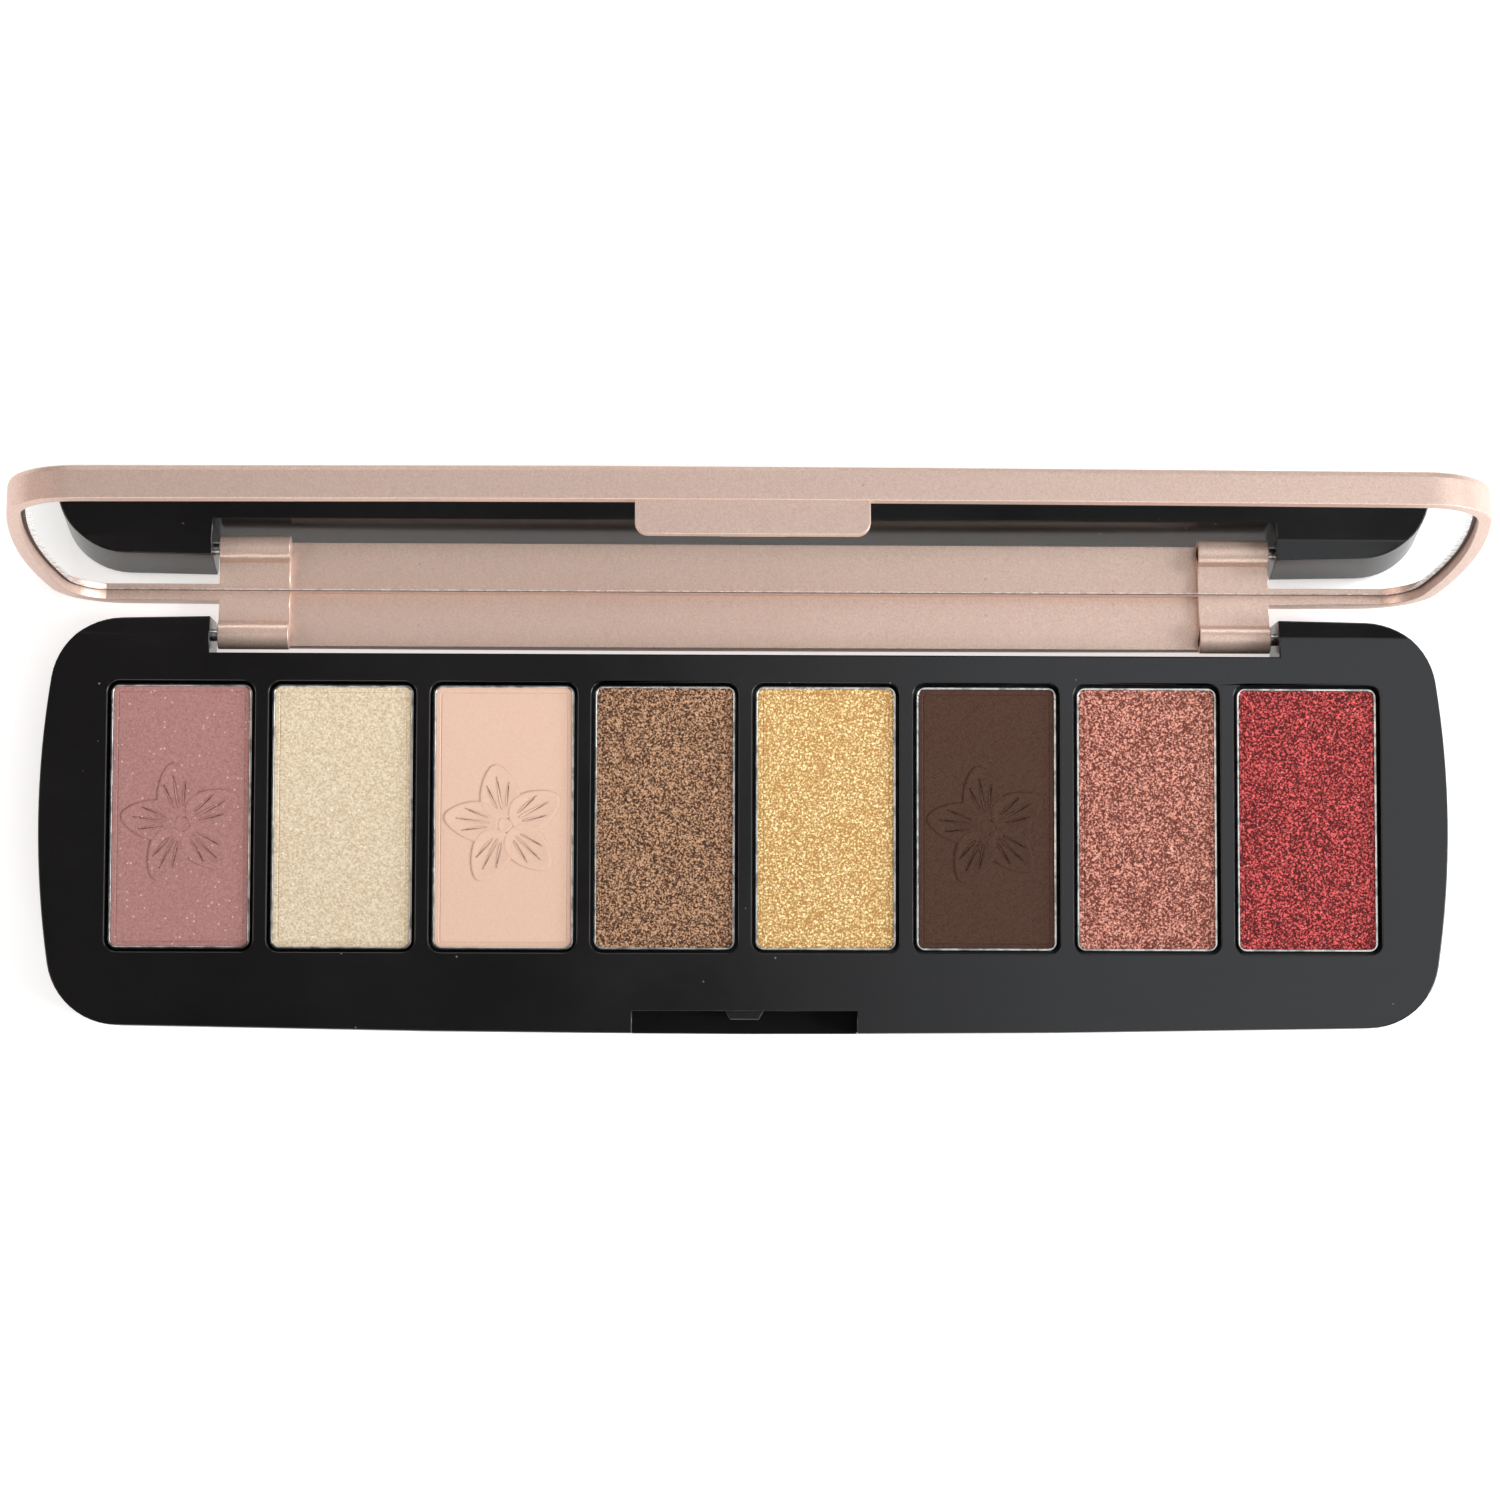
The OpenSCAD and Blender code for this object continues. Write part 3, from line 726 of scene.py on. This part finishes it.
class PALETTE_OT_pans(bpy.types.Operator):
    """Eight stamped metal pans"""

    bl_idname = "palette.pans"
    bl_label = "Pans"

    def execute(self, context):
        pans = context.scene.palette_pans
        bright = metal_material("Pan metal", (0.60, 0.59, 0.57), 0.24, (1.0, 1.0, 12.0), 0.15)
        for index in range(len(SHADE_NAMES)):
            node = f"pan_{index + 1}"
            low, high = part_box(node)
            bm = bmesh.new()
            floor = rounded_rectangle(bm, low, high, pans.corner, low.z, CORNER_STEPS)
            top = raise_face(bm, floor, high.z - low.z)
            inner = ring_inside(bm, top, pans.sheet, 0.0)
            raise_face(bm, inner, pans.sheet - (high.z - low.z), keep=False)
            bmesh.ops.recalc_face_normals(bm, faces=bm.faces)
            piece = finish_piece(
                f"pan_metal_{index + 1}", mesh_from(bm, node), "base", [node], [bright]
            )
            soften_edges(piece, pans.rim_round, 2, 40.0)
        return {"FINISHED"}


def add_lobe(bm, crease_shade, place, half_long, half_wide, height, slope):
    """A low raised egg shape whose foot carries the mask of painted shade."""
    made = bmesh.ops.create_circle(bm, cap_ends=True, segments=LOBE_SEGMENTS, radius=1.0)
    verts = made["verts"]
    for vert in verts:
        vert.co.y *= 1.0 - LOBE_TAPER * vert.co.x
    bmesh.ops.transform(bm, matrix=place @ Matrix.Diagonal((half_long, half_wide, 1, 1)), verts=verts)
    face = verts[0].link_faces[0]
    # painted shade: full at the foot, less at the top of the wall, none on the top
    for vert in verts:
        vert[crease_shade] = 1.0
    top = raise_face(bm, face, height * LOBE_WALL, keep=False)
    for vert in top.verts:
        vert[crease_shade] = 0.55
    ring_inside(bm, top, slope, 0.0)
    for vert in top.verts:
        vert[crease_shade] = 0.0
        vert.co.z += height * LOBE_SLOPE
    ring_inside(bm, top, slope * 1.2, 0.0)
    for vert in top.verts:
        vert.co.z -= height * LOBE_DISH


def add_petal(bm, crease_shade, centre, turn, size, height):
    """One raised petal and its three raised veins."""
    long, wide = size
    # the petal starts a tenth of its length away from the centre
    place = Matrix.Translation(centre) @ Matrix.Rotation(turn, 4, "Z")
    add_lobe(bm, crease_shade, place @ Matrix.Translation((long * 0.57, 0, 0)), long * 0.47, wide * 0.5,
             height, PETAL_SLOPE)
    for swing, start, reach in VEINS:
        middle = long * (start + reach / 2)
        spot = Matrix.Translation((middle * math.cos(swing), middle * math.sin(swing), height * 0.5))
        add_lobe(bm, crease_shade, place @ spot @ Matrix.Rotation(swing, 4, "Z"), long * reach / 2,
                 VEIN_HALF_WIDTH, height * 0.75, VEIN_SLOPE)


def add_blossom(bm, crease_shade, centre, relief):
    """Petals around a raised heart; each petal lies a little higher than the one before."""
    size = (relief.petal_length, relief.petal_width)
    for petal in range(relief.petals):
        turn = relief.first_turn + petal * math.tau / relief.petals
        add_petal(bm, crease_shade, centre, turn, size, relief.height + petal * relief.step)
    add_lobe(bm, crease_shade, Matrix.Translation(centre), relief.heart, relief.heart,
             relief.height * 1.3, HEART_SLOPE)


class PALETTE_OT_powders(bpy.types.Operator):
    """Eight pressed powders, three of them with a blossom in relief"""

    bl_idname = "palette.powders"
    bl_label = "Powders"

    def execute(self, context):
        pans, relief = context.scene.palette_pans, context.scene.palette_relief
        for index, shade in enumerate(SHADE_NAMES):
            node = f"shade_{index + 1}"
            low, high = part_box(node)
            bm = bmesh.new()
            # mask of painted shade at the foot of the relief
            crease_shade = bm.verts.layers.float.new("crease_shade")
            floor = rounded_rectangle(bm, low, high, pans.corner - pans.sheet, low.z, CORNER_STEPS)
            top = raise_face(bm, floor, high.z - low.z)
            ring_inside(bm, top, pans.shoulder, 0.0)
            ring_inside(bm, top, pans.ring_width, 0.0)
            ring_inside(bm, top, pans.ring_depth, -pans.ring_depth)
            ring_inside(bm, top, pans.ring_depth, pans.ring_depth)
            bmesh.ops.recalc_face_normals(bm, faces=bm.faces)
            if shade in BLOSSOM_SHADES:
                centre = (low + high) / 2 + Vector((relief.right, -relief.forward, 0))
                centre.z = high.z
                add_blossom(bm, crease_shade, centre, relief)
            piece = finish_piece(
                f"powder_{shade}", mesh_from(bm, node), "base", [node],
                [powder_material(shade)],
            )
            soften_edges(piece, pans.powder_round, 2, 35.0)
        return {"FINISHED"}


class PALETTE_OT_small_parts(bpy.types.Operator):
    """Finishes of the hinge pins, glue, adhesive and label, which keep their CAD shape"""

    bl_idname = "palette.small_parts"
    bl_label = "Small parts"

    def execute(self, context):
        wire = metal_material("Pin wire", (0.58, 0.57, 0.55), 0.32, (1.0, 14.0, 14.0), 0.25)
        finishes = {
            "hinge_pin_left": wire,
            "hinge_pin_right": wire,
            "pan_glue": soft_material("Hot glue"),
            "mirror_adhesive": soft_material("Foam tape"),
            "bottom_label": soft_material("Label paper"),
        }
        for node, made in finishes.items():
            frame["nodes"][node].material_slots[0].material = made
        return {"FINISHED"}


def add_floor(stage):
    """A pale table just below the palette, see-through from below."""
    bm = bmesh.new()
    bmesh.ops.create_grid(bm, x_segments=1, y_segments=1, size=stage.floor_size)
    floor = bpy.data.objects.new("floor", mesh_from(bm, "floor"))
    bpy.context.scene.collection.objects.link(floor)
    floor.location.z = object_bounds()[0][2] - stage.floor_gap
    made, n, socket, here = material("Pale table")
    mottle = n.noise(here, 8.0, 3.0)
    n.tree.links.new(n.ramp(mottle, ((0.3, 0.72), (0.7, 0.75))), socket["Base Color"])
    socket["Emission Color"].default_value = (1, 1, 1, 1)
    socket["Emission Strength"].default_value = stage.floor_glow * stage.light
    socket["Roughness"].default_value = 0.9
    socket["Specular IOR Level"].default_value = 0.1
    # from below the table is clear, so that the underside can be looked at
    output = next(node for node in made.node_tree.nodes if node.type == "OUTPUT_MATERIAL")
    paint = output.inputs["Surface"].links[0].from_socket
    from_below = n.add("ShaderNodeNewGeometry").outputs["Backfacing"]
    clear = n.add("ShaderNodeBsdfTransparent").outputs[0]
    surface = n.add("ShaderNodeMixShader", {0: from_below, 1: paint, 2: clear}).outputs[0]
    n.tree.links.new(surface, output.inputs["Surface"])
    floor.data.materials.append(made)
    floor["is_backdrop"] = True


def add_world(stage):
    """An even white surrounding light."""
    world = bpy.data.worlds.new("studio")
    world.use_nodes = True
    world.node_tree.nodes["Background"].inputs["Color"].default_value = (1, 1, 1, 1)
    world.node_tree.nodes["Background"].inputs["Strength"].default_value = stage.room_glow * stage.light
    bpy.context.scene.world = world


def area_light(name, lamp, power):
    """A rectangular lamp that faces its target."""
    data = bpy.data.lights.new(name, "AREA")
    data.shape = "RECTANGLE"
    data.size, data.size_y = lamp.size
    data.energy = lamp.watts * power
    data.color = lamp.tint
    made = bpy.data.objects.new(name, data)
    bpy.context.scene.collection.objects.link(made)
    made.location = lamp.place
    towards = Vector(lamp.target) - Vector(lamp.place)
    made.rotation_euler = towards.to_track_quat("-Z", "Y").to_euler()


def add_camera(stage):
    """The camera, turned from its elevation, yaw and roll."""
    data = bpy.data.cameras.new("camera")
    data.sensor_width = 36.0
    data.lens = stage.lens
    data.clip_start = 0.01
    camera = bpy.data.objects.new("camera", data)
    bpy.context.scene.collection.objects.link(camera)
    elevation, yaw, roll = (math.radians(angle) for angle in CAMERA_ANGLES)
    back = Vector((math.sin(yaw) * math.cos(elevation), -math.cos(yaw) * math.cos(elevation),
                   math.sin(elevation)))
    level = Vector((math.cos(yaw), math.sin(yaw), 0))
    up = back.cross(level)
    right = level * math.cos(roll) + up * math.sin(roll)
    top = up * math.cos(roll) - level * math.sin(roll)
    turn = Matrix((right, top, back)).transposed().to_4x4()
    camera.matrix_world = Matrix.Translation(CAMERA_AIM + back * CAMERA_DISTANCE) @ turn
    bpy.context.scene.camera = camera


class PALETTE_OT_stage(bpy.types.Operator):
    """Pale floor, soft studio light and the camera"""

    bl_idname = "palette.stage"
    bl_label = "Stage"

    def execute(self, context):
        stage = context.scene.palette_stage
        add_floor(stage)
        add_world(stage)
        for name, lamp in LAMPS.items():
            area_light(name, lamp, stage.light)
        add_camera(stage)
        context.scene.view_settings.view_transform = "Standard"
        return {"FINISHED"}


class PALETTE_PT_panel(bpy.types.Panel):
    """Lists the settings and the steps"""

    bl_idname = "PALETTE_PT_panel"
    bl_label = "Eyeshadow palette"
    bl_space_type = "VIEW_3D"
    bl_region_type = "UI"
    bl_category = "Palette"

    def draw(self, context):
        for group in SETTINGS:
            box = self.layout.box()
            settings = getattr(context.scene, group)
            for key in settings.bl_rna.properties.keys():
                if key not in ("rna_type", "name"):
                    box.prop(settings, key)
        for step in STEPS:
            self.layout.operator(step.bl_idname)


SETTINGS = {
    "palette_shell": PaletteShell,
    "palette_pans": PalettePans,
    "palette_relief": PaletteRelief,
    "palette_stage": PaletteStage,
}
STEPS = (
    PALETTE_OT_tray, PALETTE_OT_lid, PALETTE_OT_mirror, PALETTE_OT_pans, PALETTE_OT_powders,
    PALETTE_OT_small_parts, PALETTE_OT_stage,
)


def register():
    for one in (*SETTINGS.values(), *STEPS, PALETTE_PT_panel):
        bpy.utils.register_class(one)
    for name, group in SETTINGS.items():
        setattr(bpy.types.Scene, name, PointerProperty(type=group))


def unregister():
    for name in SETTINGS:
        delattr(bpy.types.Scene, name)
    for one in reversed((*SETTINGS.values(), *STEPS, PALETTE_PT_panel)):
        bpy.utils.unregister_class(one)


def main():
    register()
    for step in STEPS:
        category, name = step.bl_idname.split(".")
        getattr(getattr(bpy.ops, category), name)()


if __name__ == "__main__":
    main()
